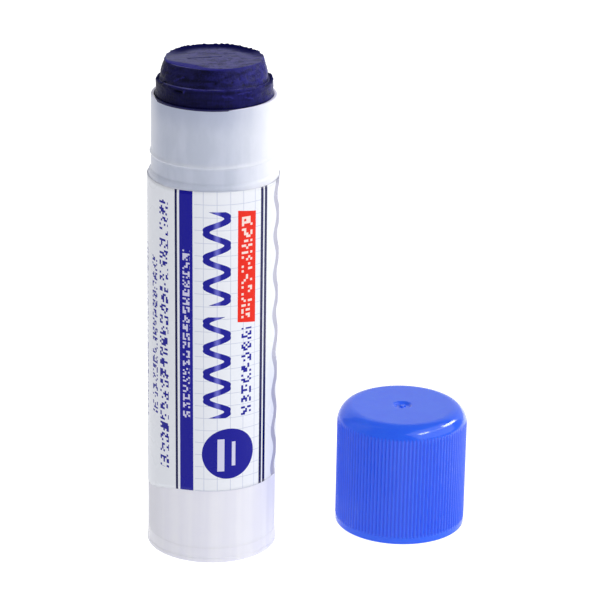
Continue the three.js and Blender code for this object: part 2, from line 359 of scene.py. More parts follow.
def barrel_milk(name):
    """The barrel's milky plastic, with the glue behind its neck and on its rim."""
    material, tree, shader, base = milky_plastic(name, 0.32, 0.46)
    split = add_node(tree, "ShaderNodeSeparateXYZ", {0: place_on(tree)})
    across = Field(tree, split.outputs["X"])
    away = Field(tree, split.outputs["Y"])
    height = Field(tree, split.outputs["Z"])
    # painted shade: the barrel is painted darker towards its left side
    left_shade = across.ramp(-7.5 * MM, -12.0 * MM) * 0.6
    base = mix(tree, left_shade, base, colour(206, 206, 216))
    on_neck = height.ramp(neck_level * MM, (neck_level + neck_blend) * MM)
    base = mix(tree, on_neck, base, neck_colour(tree, across, height))
    base = mix(tree, rim_smear(across, away, height), base, colour(6, 5, 76))
    tree.links.new(base, shader.inputs["Base Color"])
    return material


barrel_plastic = barrel_milk("milky_barrel_plastic")
print("barrel material", barrel_plastic.name)

# %% [markdown]
# ## Turning a piece
# Every piece of the stick is turned or moulded round one axis. A Screw modifier could turn it,
# but the bmesh operators leave a mesh that we can still cut and press. We draw half of the
# section as a few corners and round them with the bevel operator. Long edges get a point near
# both ends, so that smooth shading stays flat between the rounds.

# %% Helpers: half a section
flat_margin = 0.12 * MM


def draw_section(bm, corners, closed=True, round_steps=5):
    """Draws half a section from corners of (radius, height, rounding), in millimetres."""
    verts = [bm.verts.new((radius * MM, 0, height * MM)) for radius, height, rounding in corners]
    following = verts[1:] + verts[:1] if closed else verts[1:]
    for start, end in zip(verts, following):
        bm.edges.new((start, end))
    for vert, (radius, height, rounding) in zip(verts, corners):
        if rounding:
            bmesh.ops.bevel(bm, geom=[vert], offset=rounding * MM, offset_type="OFFSET",
                            segments=round_steps, profile=0.5, affect="VERTICES",
                            clamp_overlap=True, material=-1)
    hold_flat(bm)


def hold_flat(bm):
    """Puts a point near both ends of each long edge, so smooth shading stays flat between."""
    for edge in list(bm.edges):
        if edge.calc_length() > 5 * flat_margin:
            for end in list(edge.verts):
                bmesh.utils.edge_split(edge, end, flat_margin / edge.calc_length())


print("long edges get points", round(flat_margin / MM, 2), "mm from their ends")

# %% [markdown]
# The section is then spun round Z. A spin gets slow with many steps, so we spin a quarter and
# copy it three times. The doubled points are welded, which also closes the poles, and only then
# are the faces turned outwards.

# %% Helpers: from a section to a piece
def turn(bm, steps):
    """Turns the section once round Z into a closed surface with its faces outwards."""
    quarter = math.tau / 4
    bmesh.ops.spin(bm, geom=bm.verts[:] + bm.edges[:], cent=(0, 0, 0), axis=(0, 0, 1),
                   dvec=(0, 0, 0), angle=quarter, steps=steps // 4, use_merge=False)
    first_quarter = bm.verts[:] + bm.edges[:] + bm.faces[:]
    for count in (1, 2, 3):
        copied = bmesh.ops.duplicate(bm, geom=first_quarter)["geom"]
        verts = [item for item in copied if isinstance(item, bmesh.types.BMVert)]
        bmesh.ops.rotate(bm, verts=verts, matrix=Matrix.Rotation(count * quarter, 3, "Z"))
    close_up(bm)


def close_up(bm):
    """Welds doubled points and turns the faces outwards."""
    bmesh.ops.remove_doubles(bm, verts=bm.verts, dist=0.001 * MM)
    bmesh.ops.recalc_face_normals(bm, faces=bm.faces)


def make_piece(bm, name, material, body, node, crease=35):
    """Turns a bmesh into a smooth-shaded piece that rides on a body and stands for a CAD node."""
    open_edges = sum(not edge.is_manifold for edge in bm.edges)
    mesh = bpy.data.meshes.new(name)
    bm.to_mesh(mesh)
    bm.free()
    mesh.shade_smooth()
    mesh.set_sharp_from_angle(angle=math.radians(crease))
    mesh.materials.append(material)
    piece = bpy.data.objects.new(name, mesh)
    bpy.context.scene.collection.objects.link(piece)
    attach(piece, body)
    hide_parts(node)
    print(f"{name}: {len(mesh.polygons)} faces, {open_edges} open edges")
    return piece


print("two helpers turn a section and make it a piece of the frame")

# %% [markdown]
# ## The barrel
# The barrel is a plain tube with a thinner neck. On the neck sits a low, rounded bead that grips
# the cap and catches the light. Inside there is a groove for the foot's snap ring. The tube could
# be a cylinder with a Solidify modifier, but one drawn section gives every edge its own round.

# %% Barrel: section and spin
bore = 10.82
neck = 11.42
shoulder = 73.85
shoulder_drop = 0.95
shoulder_inset = 0.24
shoulder_lip = 0.25
bead_radius = 11.66
bead_half = 0.06
bead_below = 0.3
bead_above = 0.5
snap_level = 8.0
snap_groove = 11.35
groove_half = 0.3
groove_mouth = 0.8
slot_bottom = 12.1
slot_top = 71.8
turned_steps = 216

barrel = bmesh.new()
draw_section(barrel, [
    (bore, barrel_foot, 0.1),
    (barrel_radius, barrel_foot, 0),
    (barrel_radius, shoulder - shoulder_drop, 0.45),
    (barrel_radius - shoulder_inset, shoulder - shoulder_lip, 0.28),
    (neck, shoulder, 0.2),
    (neck, bead_level - bead_below, 0.1),
    (bead_radius, bead_level - bead_half, 0.1),
    (bead_radius, bead_level + bead_half, 0.1),
    (neck, bead_level + bead_above, 0.2),
    (neck, rim, 0.22),
    (bore, rim, 0.12),
    (bore, slot_top, 0),
    (bore, slot_bottom, 0),
    (bore, snap_level + groove_mouth, 0),
    (snap_groove, snap_level + groove_half, 0),
    (snap_groove, snap_level - groove_half, 0),
    (bore, snap_level - groove_mouth, 0),
])
turn(barrel, turned_steps)
print("barrel wall", round(barrel_radius - bore, 2), "mm, neck wall", round(neck - bore, 2), "mm")

# %% [markdown]
# Two slots run up the wall of the bore and keep the glue's carrier from turning. They could be
# cut with a Boolean, but an extrusion keeps the mesh clean: we pick the faces of the bore that
# lie in front of each slot, extrude them and push the new faces outwards.

# %% Barrel: slots
slot_depth = 0.65
slot_half_angle = 5.0


def in_slot(face):
    """True for a face of the bore that lies inside one of the two slots."""
    centre = face.calc_center_median()
    radius = math.hypot(centre.x, centre.y)
    angle = math.degrees(math.atan2(abs(centre.y), abs(centre.x)))
    inside = slot_bottom * MM < centre.z < slot_top * MM
    return radius < (bore + 0.02) * MM and angle < slot_half_angle and inside


slot_faces = [face for face in barrel.faces if in_slot(face)]
pushed = bmesh.ops.extrude_face_region(barrel, geom=slot_faces)
bmesh.ops.delete(barrel, geom=[face for face in slot_faces if face.is_valid], context="FACES")
for item in pushed["geom"]:
    if isinstance(item, bmesh.types.BMVert):
        reach = (bore + slot_depth) / bore
        item.co.x *= reach
        item.co.y *= reach
close_up(barrel)
make_piece(barrel, "barrel_shell", barrel_plastic, "stick", "barrel")

# %% [markdown]
# ## The foot
# The foot is what the fingers turn. It is a low flange as wide as the barrel, hollowed on its
# underside, with a plug that snaps into the barrel and a hub that drives the screw. Its upper
# edge is flush with the barrel, it widens a little below that, and a small ledge runs round it
# low down, which catches the light. It is a turned form too, so it is made like the barrel.

# %% Foot: section and spin
flange_radius = radius_of("dial")
flange_height = barrel_foot - 0.005
flange_round = 0.25
ledge_level = 0.78
ledge_top = 0.93
ledge_depth = 0.09
waist_level = 1.6
waist_depth = 0.12
flange_draft = 0.2
plug_radius = 10.52
plug_top = 12.0
plug_wall = 1.2
snap_radius = 11.05
snap_half = 0.5
floor_level = 2.2
recess = 0.8
recess_draft = 0.1
foot_ring = 10.35
foot_pad = 4.0
hub_radius = 4.305
hub_top = 10.8
socket_radius = 2.6

foot = bmesh.new()
draw_section(foot, [
    (0, 0, 0),
    (foot_pad, 0, 0.2),
    (foot_pad + recess_draft, recess, 0.15),
    (foot_ring - recess_draft, recess, 0.15),
    (foot_ring, 0, 0.2),
    (flange_radius, 0, flange_round),
    (flange_radius, ledge_level, 0.08),
    (flange_radius - ledge_depth, ledge_top, 0.08),
    (flange_radius - waist_depth, waist_level, 0.3),
    (flange_radius - flange_draft, flange_height, 0),
    (plug_radius, flange_height, 0),
    (plug_radius, snap_level - snap_half, 0),
    (snap_radius, snap_level, 0.15),
    (plug_radius, snap_level + snap_half, 0),
    (plug_radius, plug_top, 0.4),
    (plug_radius - plug_wall, plug_top, 0.15),
    (plug_radius - plug_wall, floor_level, 0.3),
    (hub_radius, floor_level, 0.3),
    (hub_radius, hub_top, 0.2),
    (socket_radius, hub_top, 0.1),
    (socket_radius, floor_level, 0),
    (0, floor_level, 0),
], closed=False, round_steps=4)
turn(foot, turned_steps)
print("foot flange", round(2 * flange_radius, 1), "mm across")
make_piece(foot, "foot_dial", foot_plastic, "foot", "dial", crease=30)

# %% [markdown]
# ## Blue plastic
# The cap is coloured through and polished only by its mould. A plain blue would look like paint,
# so the base wanders between two blues, noise lets the gloss wander too, and a very low ripple
# keeps the reflections from being perfect. Its centre is given, because the cap stands beside the
# origin and the pattern should sit on the cap's own axis.

# %% Material: blue plastic
def blue_plastic(name, centre):
    material, tree, shader = new_material(name)
    clouds = grain(tree, place_on(tree, centre=centre), 4.0, 3)
    speckle = grain(tree, place_on(tree, centre=centre), 0.25, 2)
    pressed = add_node(tree, "ShaderNodeAttribute", attribute_name="groove")
    groove = Field(tree, pressed.outputs["Fac"])
    base = mix(tree, clouds.ramp(0.3, 0.7), colour(24, 95, 254), colour(31, 101, 255))
    # painted shade in the grooves between the ribs
    base = mix(tree, groove, base, colour(10, 75, 238))
    gloss = (clouds * 0.6 + speckle * 0.4).ramp(0.3, 0.7, 0.10, 0.15)
    relief = bump(tree, clouds, 0.02, bump(tree, speckle, 0.0015))
    tree.links.new(base, shader.inputs["Base Color"])
    tree.links.new(gloss.socket, shader.inputs["Roughness"])
    tree.links.new(relief, shader.inputs["Normal"])
    shader.inputs["IOR"].default_value = 1.49
    shader.inputs["Subsurface Weight"].default_value = 0.12
    shader.inputs["Subsurface Radius"].default_value = (0.2, 0.35, 1.0)
    shader.inputs["Subsurface Scale"].default_value = 0.8 * MM
    return material


cap_blue = blue_plastic("blue_cap_plastic", cap_axis)
print("cap material", cap_blue.name)

# %% [markdown]
# ## The cap
# The cap is one shell: a smooth band at its mouth, fine upright ribs for the fingers, a round
# edge and a flat top that cuts the round off. We start with the round edge, which is a long arc.
# A bevel of that size would run into the ribs' corner, so the arc is worked out from its own
# radius, and only the corner at the flat top is left to the bevel.

# %% Cap: round edge
cap_round = 3.7
cap_round_end = 67.0
cap_corner = 16.0
cap_corner_soft = 0.7
round_start = cap_top - cap_round * math.sin(math.radians(cap_round_end))
print("the cap's round edge starts at", round(round_start, 2), "mm")


def cap_edge(steps=14):
    """The round edge from the flat top down to the side, as plain corners."""
    flat_radius = cap_radius - cap_round * (1 - math.cos(math.radians(cap_round_end)))
    corners = [(flat_radius, cap_top, cap_corner_soft)]
    for step in range(steps + 1):
        angle = math.radians((cap_round_end - cap_corner) * (1 - step / steps))
        radius = cap_radius - cap_round * (1 - math.cos(angle))
        corners.append((radius, round_start + cap_round * math.sin(angle), 0))
    return corners


# %% [markdown]
# The whole section starts in the middle of the dimpled top, goes out and down the side to the
# mouth, and comes up again inside, where a thin ring plugs the barrel's mouth. A cylinder with
# loop cuts could give the same form, but a drawn section keeps all its sizes in one list. It is
# turned in eight steps for each rib, because the ribs are pressed into it next.

# %% Cap: section and spin
cap_ribs = 106
steps_per_rib = 8
cap_band = 1.2
cap_band_inset = 0.05
cap_bore = 11.75
cap_seal_outer = 10.57
cap_seal_inner = 9.87
cap_seal_bottom = 11.7
cap_channel_roof = cap_top - 3.6
cap_roof = cap_top - 1.2
dimple_radius = 1.6
dimple_floor = cap_top - 0.45
dimple_slope_in = 0.35
dimple_slope_out = 0.15
nub_radius = 0.45
nub_top = cap_top - 0.12

cap = bmesh.new()
draw_section(cap, [
    (0, nub_top, 0),
    (nub_radius, nub_top, 0.1),
    (nub_radius + 0.1, dimple_floor, 0.08),
    (dimple_radius - dimple_slope_in, dimple_floor, 0.12),
    (dimple_radius + dimple_slope_out, cap_top, 0.2),
    *cap_edge(),
    (cap_radius, round_start - 0.2, 0),
    (cap_radius, cap_band + 0.45, 0),
    (cap_radius, cap_band + 0.15, 0),
    (cap_radius - cap_band_inset, cap_band, 0),
    (cap_radius - cap_band_inset, 0, 0.3),
    (cap_bore, 0, 0.3),
    (cap_bore, cap_channel_roof, 0.4),
    (cap_seal_outer, cap_channel_roof, 0.4),
    (cap_seal_outer - 0.15, cap_seal_bottom, 0.25),
    (cap_seal_inner, cap_seal_bottom, 0.2),
    (cap_seal_inner - 0.2, cap_roof, 0.6),
    (0, cap_roof, 0),
], closed=False, round_steps=5)
turn(cap, steps_per_rib * cap_ribs)
print("cap turned in", steps_per_rib * cap_ribs, "steps")

# %% [markdown]
# The ribs could be small bars joined to the shell, but then every joint would show. So we press
# the grooves in with a cosine, which makes crests and grooves equally wide and soft. The grooves
# run straight up, so they end by themselves where the round edge draws in. An attribute keeps
# them for the material, which paints shade into them.

# %% Cap: ribs
rib_crest = -91.0
rib_depth = 0.2
rib_run_out = 0.3
ribs_end = round_start + 1.5
outer_side = cap_bore + 0.45

groove_shade_layer = cap.verts.layers.float.new("groove")
for vert in cap.verts:
    radius = vert.co.xy.length / MM
    level = vert.co.z / MM
    rise = min(1.0, max(0.0, (level - cap_band) / rib_run_out))
    if radius > outer_side and rise > 0 and level < ribs_end:
        angle = math.atan2(vert.co.y, vert.co.x) - math.radians(rib_crest)
        groove = (0.5 - 0.5 * math.cos(cap_ribs * angle)) * rise
        reach = cap_radius - rib_depth * groove
        if radius > reach:
            vert.co.xy = vert.co.xy * (reach / radius)
            vert[groove_shade_layer] = groove
close_up(cap)
bmesh.ops.translate(cap, verts=cap.verts, vec=cap_axis)
make_piece(cap, "cap_shell", cap_blue, "cap", "cap", crease=40)

# %% [markdown]
# ## The glue
# The glue is a firm, waxy, blue-violet column. Someone has rubbed it on paper, so its end is
# worn to a low cone with a flat, scratched top. One noise would look like stone, so the wax
# mixes five, and four of them are stretched the way in which the glue was dragged.

# %% Helpers: colours of the wax
lip_shadow_top = 91.0
lip_shadow_end = 90.4


def wax_noises(tree):
    """The noises of the wax: dragged along, pressed, dragged down, scratched and patched."""
    return {
        "smears": grain(tree, place_on(tree, stretch=(1, 1, 5)), 3.0, 4),
        "lumps": grain(tree, place_on(tree), 1.3, 4, 0.6),
        "drags": grain(tree, place_on(tree, stretch=(3, 3, 0.5)), 0.9, 3, 0.6),
        "scratches": grain(tree, place_on(tree, stretch=(0.14, 1, 1)), 0.4, 3, 0.65),
        "patches": grain(tree, place_on(tree, stretch=(0.45, 1, 1)), 2.2, 3, 0.6),
    }


def wax_side(tree, noises, across, height):
    """The streaked side, with painted shade on the left and painted shadow below the lip."""
    streaked = noises["smears"] * 0.45 + noises["lumps"] * 0.25 + noises["drags"] * 0.3
    streaked = streaked.ramp(0.38, 0.6)
    painted_shade_side = mix(tree, streaked, colour(9, 9, 40), colour(26, 25, 78))
    painted_lit_side = mix(tree, streaked, colour(16, 14, 76), colour(42, 39, 136))
    # painted light and shade: a lit colour on the right and a shaded one on the left
    side = mix(tree, across.ramp(-4 * MM, 11 * MM), painted_shade_side, painted_lit_side)
    below_lip = height.ramp(lip_shadow_top * MM, lip_shadow_end * MM) * 0.5
    return mix(tree, below_lip, side, colour(5, 4, 48))


def wax_face(tree, noises, across):
    """The flat top: scratched, with dull patches, and greyer on the left."""
    rubbed = (noises["scratches"] * 0.5 + noises["lumps"] * 0.5).ramp(0.42, 0.58)
    face = mix(tree, rubbed, colour(16, 14, 84), colour(86, 84, 150))
    face = mix(tree, noises["patches"].ramp(0.42, 0.62) * 0.6, face, colour(82, 82, 134))
    return mix(tree, across.ramp(-2 * MM, -8 * MM) * 0.5, face, colour(92, 94, 126))


print("the side is in shadow below", lip_shadow_top, "mm")

# %% [markdown]
# The side and the flat top are told apart by the surface's own direction. Three attributes of
# the mesh, which the wear writes later on, tell the wax where a thin flap lets deep blue light
# through, where smears and a facet are rubbed pale and painted highlights lie on the rolled lip
# and the front edge, and where nicks and furrows get painted shade.

# %% Material: waxy glue
def waxy_glue(name):
    """The glue's wax, with its scratches and with the marks that the wear leaves."""
    material, tree, shader = new_material(name)
    split = add_node(tree, "ShaderNodeSeparateXYZ", {0: place_on(tree)})
    across = Field(tree, split.outputs["X"])
    height = Field(tree, split.outputs["Z"])
    facing = add_node(tree, "ShaderNodeNewGeometry").outputs["Normal"]
    up = Field(tree, add_node(tree, "ShaderNodeSeparateXYZ", {0: facing}).outputs["Z"])
    noises = wax_noises(tree)
    side = wax_side(tree, noises, across, height)
    base = mix(tree, up.ramp(0.8, 0.97), side, wax_face(tree, noises, across))
    # nick: painted shade in nicks and furrows; lip: pale wear plus painted highlights
    tints = {"nick": colour(2, 2, 28), "lip": colour(50, 47, 140), "flap": colour(1, 1, 70)}
    shares = {}
    for attribute, tint in tints.items():
        share = add_node(tree, "ShaderNodeAttribute", attribute_name=attribute).outputs["Fac"]
        base = mix(tree, share, base, tint)
        shares[attribute] = Field(tree, share)
    gloss = (noises["lumps"] * 0.5 + noises["scratches"] * 0.5).ramp(0.35, 0.65, 0.34, 0.5)
    gloss = gloss + shares["flap"] * 0.5
    relief = bump(tree, noises["lumps"], 0.12)
    relief = bump(tree, noises["drags"], 0.05, relief)
    relief = bump(tree, noises["scratches"], 0.08, relief)
    tree.links.new(base, shader.inputs["Base Color"])
    tree.links.new(gloss.socket, shader.inputs["Roughness"])
    tree.links.new(relief, shader.inputs["Normal"])
    shader.inputs["IOR"].default_value = 1.16
    shader.inputs["Subsurface Weight"].default_value = 0.1
    shader.inputs["Subsurface Radius"].default_value = (0.1, 0.1, 1.0)
    shader.inputs["Subsurface Scale"].default_value = 0.6 * MM
    return material


glue_wax = waxy_glue("waxy_blue_glue")
print("glue material", glue_wax.name)

# %% [markdown]
# The column is a turned form like the others. Its lower end fills the carrier's cup and lies
# over its lip. At its worn end the cone meets the column in a small rolled lip. Sculpting by
# hand could wear it, but could not be repeated, so the wear is computed. For that, the section
# is finely divided where the glue stands out of the barrel.

# %% Glue: section and spin
glue_radius = 10.52
cup_fit = 9.32
lip_fit = 8.92
cup_lip = 44.1
cup_lip_top = cup_lip + 0.3
cup_lip_end = cup_lip - 1.5
cup_lip_foot = cup_lip - 1.9
glue_bore = 3.35
glue_bore_end = 83.8
glue_bore_point = 1.6
worn_column_top = 90.35
worn_flat = glue_top - 0.42
worn_flat_radius = 8.6
cone_foot_radius = 9.78
cone_foot = worn_column_top + 0.48
roll_out = 0.28
roll_up = 0.22
roll_inset = 0.12
roll_level = 0.1
fine_step = 0.19 * MM
fine_from = (rim - 1.2) * MM
glue_steps = 360

glue = bmesh.new()
draw_section(glue, [
    (0, worn_flat, 0),
    (worn_flat_radius, worn_flat, 0.1),
    (cone_foot_radius, cone_foot, 0.06),
    (cone_foot_radius + roll_out, cone_foot + roll_up, 0.1),
    (glue_radius - roll_inset, cone_foot + roll_level, 0.14),
    (glue_radius, worn_column_top, 0.1),
    (glue_radius, rim - 1.0, 0),
    (glue_radius, cup_lip_top, 0.2),
    (lip_fit, cup_lip_top, 0),
    (lip_fit, cup_lip_end, 0),
    (cup_fit, cup_lip_foot, 0),
    (cup_fit, glue_bottom, 0.2),
    (glue_bore, glue_bottom, 0.1),
    (glue_bore, glue_bore_end, 0),
    (0, glue_bore_end + glue_bore_point, 0),
], closed=False, round_steps=3)
for edge in list(glue.edges):
    exposed = min(vert.co.z for vert in edge.verts) > fine_from
    cuts = int(edge.calc_length() / fine_step)
    if exposed and cuts:
        bmesh.ops.subdivide_edges(glue, edges=[edge], cuts=cuts)
turn(glue, glue_steps)
print("glue section spun to", len(glue.faces), "faces")

# %% [markdown]
# ## Wear
# Now we push the points about, as a sculptor would. Smooth falloffs place a mark softly, and
# noise that runs round the axis tears the edges. A Displace modifier could only push along the
# normals, and wear also leans, lowers and smears, so each point is moved by its own sum.

# %% Helpers for wear
def bell(value, centre, width):
    """1 at the centre, falling softly to 0."""
    return math.exp(-((value - centre) / width) ** 2)


def clamp(value, low=0.0, high=1.0):
    return min(high, max(low, value))


def ripple(direction, waves, row=0.0):
    """Smooth noise from 0 to 1 round the axis, with about so many waves in a turn."""
    reach = waves / math.tau
    return noise.noise(Vector((direction.x * reach, direction.y * reach, row))) * 0.5 + 0.5


def off_line(x, y, start, end):
    """How far a point lies from a straight stroke."""
    stroke = Vector(end) - Vector(start)
    point = Vector((x, y)) - Vector(start)
    share = clamp(point.dot(stroke) / stroke.length_squared)
    return (point - stroke * share).length


print("a bell of width 1 has fallen to", round(bell(1, 0, 1), 2), "at a distance of 1")

# %% [markdown]
# A few single nicks, smears and furrows are placed one by one, because chance alone wouldn't put
# them where they catch the eye. Those on the side are placed by their angle round the stick and
# their height, and those on the flat top by their x and y, all in millimetres and degrees.

# %% Marks on the glue
nicks = [
    # degrees from the front, height, half width, half height, depth
    (-35.5, 90.2, 0.95, 0.22, 0.4),
    (-62.0, 90.9, 0.5, 0.2, 0.25),
    (14.0, 92.7, 0.16, 0.14, 0.14),
    (22.0, 91.9, 0.18, 0.16, 0.16),
    (31.0, 92.3, 0.16, 0.14, 0.14),
    (35.0, 91.4, 0.2, 0.14, 0.14),
    (3.0, 91.8, 0.14, 0.2, 0.1),
    (64.0, 90.6, 0.6, 0.2, 0.22),
]
smears = [
    # from degrees and height, to degrees and height, half width, rise
    ((-47.0, 91.5), (-33.0, 92.25), 0.06, 0.1),
    ((-29.0, 90.1), (-28.0, 90.5), 0.16, 0.16),
    ((10.0, 90.1), (20.0, 89.7), 0.1, 0.08),
    ((33.0, 89.4), (42.0, 89.1), 0.1, 0.08),
    ((26.0, 90.2), (40.0, 90.35), 0.1, 0.08),
]
furrows = [
    # from and to across the flat top, half width, depth
    ((-4.6, -0.7), (-0.6, 0.35), 0.16, 0.14),
    ((-1.0, 0.3), (1.2, 0.9), 0.12, 0.1),
    ((1.6, 2.6), (3.6, 3.3), 0.1, 0.08),
    ((-0.4, -4.2), (2.4, -3.6), 0.1, 0.05),
    ((2.6, 4.9), (5.4, 4.4), 0.12, 0.06),
]
print(len(nicks), "nicks,", len(smears), "smears and", len(furrows), "furrows")

# %% [markdown]
# Each point of the worn end asks the same questions: where am I, how ragged is the glue here, and
# am I on the edge of the flat top or on the rolled lip? A small class answers them once.

# %% Helper: a spot on the worn end
lip_level = cone_foot + 0.2


class Spot:
    """What the wear needs to know of one point."""

    def __init__(self, place):
        self.place = place.copy()
        self.x = place.x / MM
        self.y = place.y / MM
        self.level = place.z / MM
        self.radius = math.hypot(self.x, self.y)
        self.outward = Vector((place.x, place.y, 0)).normalized()
        self.around = math.degrees(math.atan2(self.outward.x, -self.outward.y))
        self.behind = clamp((self.outward.y - 0.1) / 0.5)
        self.sideways = abs(self.outward.x) ** 5
        self.past_edge = self.radius - worn_flat_radius
        self.top_share = clamp((self.level - worn_flat + 0.35) / 0.3)
        torn = ripple(self.outward, 30, 3.0) * 0.55 + ripple(self.outward, 90, 9.0) * 0.45
        self.torn = torn
        self.ragged = clamp((torn - 0.4) * 4)
        on_lip = self.radius > cone_foot_radius + 0.1
        self.rolled = bell(self.level, lip_level, 0.22) if on_lip else 0.0

    def on_edge(self, across, upward):
        """How close the spot is to the edge of the flat top."""
        return bell(self.past_edge, 0, across) * bell(self.level, worn_flat, upward)


print("the rolled lip lies at", round(lip_level, 2), "mm")

# %% [markdown]
# The marks come first. Furrows cross the flat top, and on the side the glue has been dragged
# round, nicked and smeared. Each mark moves the spot, gives a nick or furrow painted shade, and
# says how pale a smear makes it.

# %% Wear: single marks
def mark_flat_top(spot):
    """A soft swell and the furrows: how far the spot rises, and how much painted shade it gets.
    """
    swell = noise.noise(spot.place * 450)
    rubbed = noise.noise(Vector((spot.x * 0.12, spot.y * 1.1, 2.0)))
    lift = 0.03 * swell + 0.03 * rubbed
    dark = 0.0
    for start, end, width, depth in furrows:
        mark = bell(off_line(spot.x, spot.y, start, end), 0, width)
        lift -= depth * mark
        # painted shade in the furrow
        dark = max(dark, 0.75 * mark)
    return lift, dark


def mark_side(spot):
    """Drags, nicks and smears: how far the spot goes out, its painted shade and how pale it is.
    """
    swell = noise.noise(spot.place * 450)
    drag = noise.noise(Vector((spot.outward.x * 7, spot.outward.y * 7, spot.level * 2.2)))
    push = (0.07 * swell + 0.09 * drag) * clamp((spot.level - rim + 0.3) / 0.8)
    dark = pale = 0.0
    for angle, height, wide, tall, depth in nicks:
        aside = math.radians(spot.around - angle) * spot.radius
        mark = math.exp(-(aside / wide) ** 4 - ((spot.level - height) / tall) ** 4)
        push -= depth * mark
        # painted shade in the nick
        dark = max(dark, mark)
    along = math.radians(spot.around) * spot.radius
    wobble = 0.25 * noise.noise(spot.place * 1500)
    for start, end, width, rise in smears:
        first = (math.radians(start[0]) * spot.radius, start[1])
        last = (math.radians(end[0]) * spot.radius, end[1])
        mark = bell(off_line(along, spot.level + wobble, first, last), 0, width)
        push += rise * mark
        pale = max(pale, 0.65 * mark)
    return push, dark, pale


print("marks are ready for spots above", round(rim - 0.3, 2), "mm")

# %% [markdown]
# Then the edges. The far edge of the flat top is drawn out into a thin ragged flap, the lip rolls
# up unevenly, and on the left of the front a facet is rubbed off the edge.

# %% Wear: edges
flap_reach = 0.35
flap_rise = 0.42
lip_rise = 0.25
lip_drop = 0.6
facet_angle = -36
facet_spread = 30
facet_width = 2.0
facet_depth = 0.35


def tear_edges(spot):
    """The flap and the rolled lip: how far the spot goes out and up."""
    edge = spot.on_edge(0.26, 0.22)
    push = flap_reach * edge * spot.behind * (0.25 + 0.75 * spot.ragged)
    push += 0.1 * edge * spot.sideways * spot.ragged
    push += 0.16 * spot.rolled * (spot.ragged - 0.3)
    rise = clamp((spot.past_edge + 0.6) / 0.5)
    lift = flap_rise * rise * spot.behind * spot.top_share * (0.6 + 0.4 * spot.ragged)
    lift += lip_rise * spot.rolled * spot.sideways * spot.ragged
    if spot.radius > cone_foot_radius - 0.3:
        lift -= lip_drop * spot.sideways * bell(spot.level, lip_level, 0.55)
    lift += 0.35 * spot.rolled * (ripple(spot.outward, 9, 5.0) - 0.5)
    return push, lift


def rub_facet(spot):
    """The facet: how far the spot sinks, and how pale it is."""
    near = bell(spot.around, facet_angle, facet_spread)
    width = facet_width * near
    inside = spot.past_edge + width
    sink = facet_depth * near * clamp(inside / (width + 0.01)) * spot.top_share
    pale = 0.8 * clamp(inside / 0.3) * spot.top_share * clamp(width * 2)
    return sink, pale


print("the facet is", facet_width, "mm wide and", facet_depth, "mm deep")

# %% [markdown]
# Last comes the lean. The glue was rubbed more on its front, so the worn end is set back there,
# and the pressure has bulged it sideways. The spot keeps inside the column's greatest radius and
# below the highest point that the frame allows.

# %% Wear: lean
lean = 0.6
front_set_back = 0.8
left_set_back = 1.3
widest_swell = 0.28


def lean_back(spot, vert):
    """Sets the worn end back, bulges it sideways and keeps it inside the frame's size."""
    worn_share = clamp((spot.level - cone_foot) / (worn_flat - cone_foot))
    reach_share = clamp(spot.radius / worn_flat_radius)
    set_back = front_set_back + left_set_back * bell(spot.around, -32, 26)
    set_back *= clamp(-spot.outward.y * 2) * reach_share ** 3
    vert.co.y += (lean + set_back) * worn_share * MM
    bulge = 0.28 * worn_share + 0.6 * worn_share * (1 - worn_share)
    bulge *= spot.outward.x * abs(spot.outward.x)
    vert.co.x += bulge * reach_share * MM
    if spot.radius > cone_foot_radius:
        rim_bulge = 0.22 * bell(spot.level, rim, 0.3) * abs(spot.outward.x)
        vert.co += spot.outward * (0.16 * clamp(spot.outward.x) + rim_bulge) * MM
    limit = (glue_radius + widest_swell) * MM
    if vert.co.xy.length > limit:
        vert.co.xy = vert.co.xy * (limit / vert.co.xy.length)
    vert.co.z = min(vert.co.z, glue_top * MM)


print("the worn end leans back by", lean, "mm")

# %% [markdown]
# Now every point of the worn end is moved once, and the three attributes are written for the
# wax: painted shade in the nicks and furrows, the deep blue far margin, and the pale smears and
# facet together with painted highlights on the rolled lip and the front edge.

# %% Glue: wear and finish
nick_shade_layer = glue.verts.layers.float.new("nick")
flap_layer = glue.verts.layers.float.new("flap")
pale_and_highlight_layer = glue.verts.layers.float.new("lip")
for vert in glue.verts:
    spot = Spot(vert.co)
    if spot.level < rim - 0.5 or spot.radius < 0.01:
        continue
    push = lift = dark = pale = 0.0
    if spot.past_edge < -0.15 and spot.level > worn_flat - 0.1:
        lift, dark = mark_flat_top(spot)
    elif spot.level > rim - 0.3:
        push, dark, pale = mark_side(spot)
    edge_push, edge_lift = tear_edges(spot)
    sink, facet_pale = rub_facet(spot)
    vert.co += spot.outward * (push + edge_push) * MM
    vert.co.z += (lift + edge_lift - sink) * MM
    lean_back(spot, vert)

    margin = clamp((spot.past_edge + 3.3 - 0.9 * spot.torn) / 1.6)
    margin *= spot.behind * spot.top_share
    # painted highlights along the front edge of the flat top and on the rolled lip; smears and
    # the facet are pale from wear
    front_highlight = spot.on_edge(0.16, 0.16) * (1 - spot.behind)
    lip_highlight = 0.6 * spot.rolled * spot.ragged * (1 - spot.sideways)
    vert[nick_shade_layer] = clamp(dark)
    vert[flap_layer] = clamp(margin + 0.9 * spot.rolled * spot.sideways)
    vert[pale_and_highlight_layer] = clamp(max(pale, facet_pale) + lip_highlight + 1.2 * front_highlight * spot.torn)
close_up(glue)
highest = max(vert.co.z for vert in glue.verts) / MM
print("highest point of the worn end", round(highest, 2), "mm, allowed", round(glue_top, 2))
make_piece(glue, "glue_column", glue_wax, "lift", "glue", crease=60)

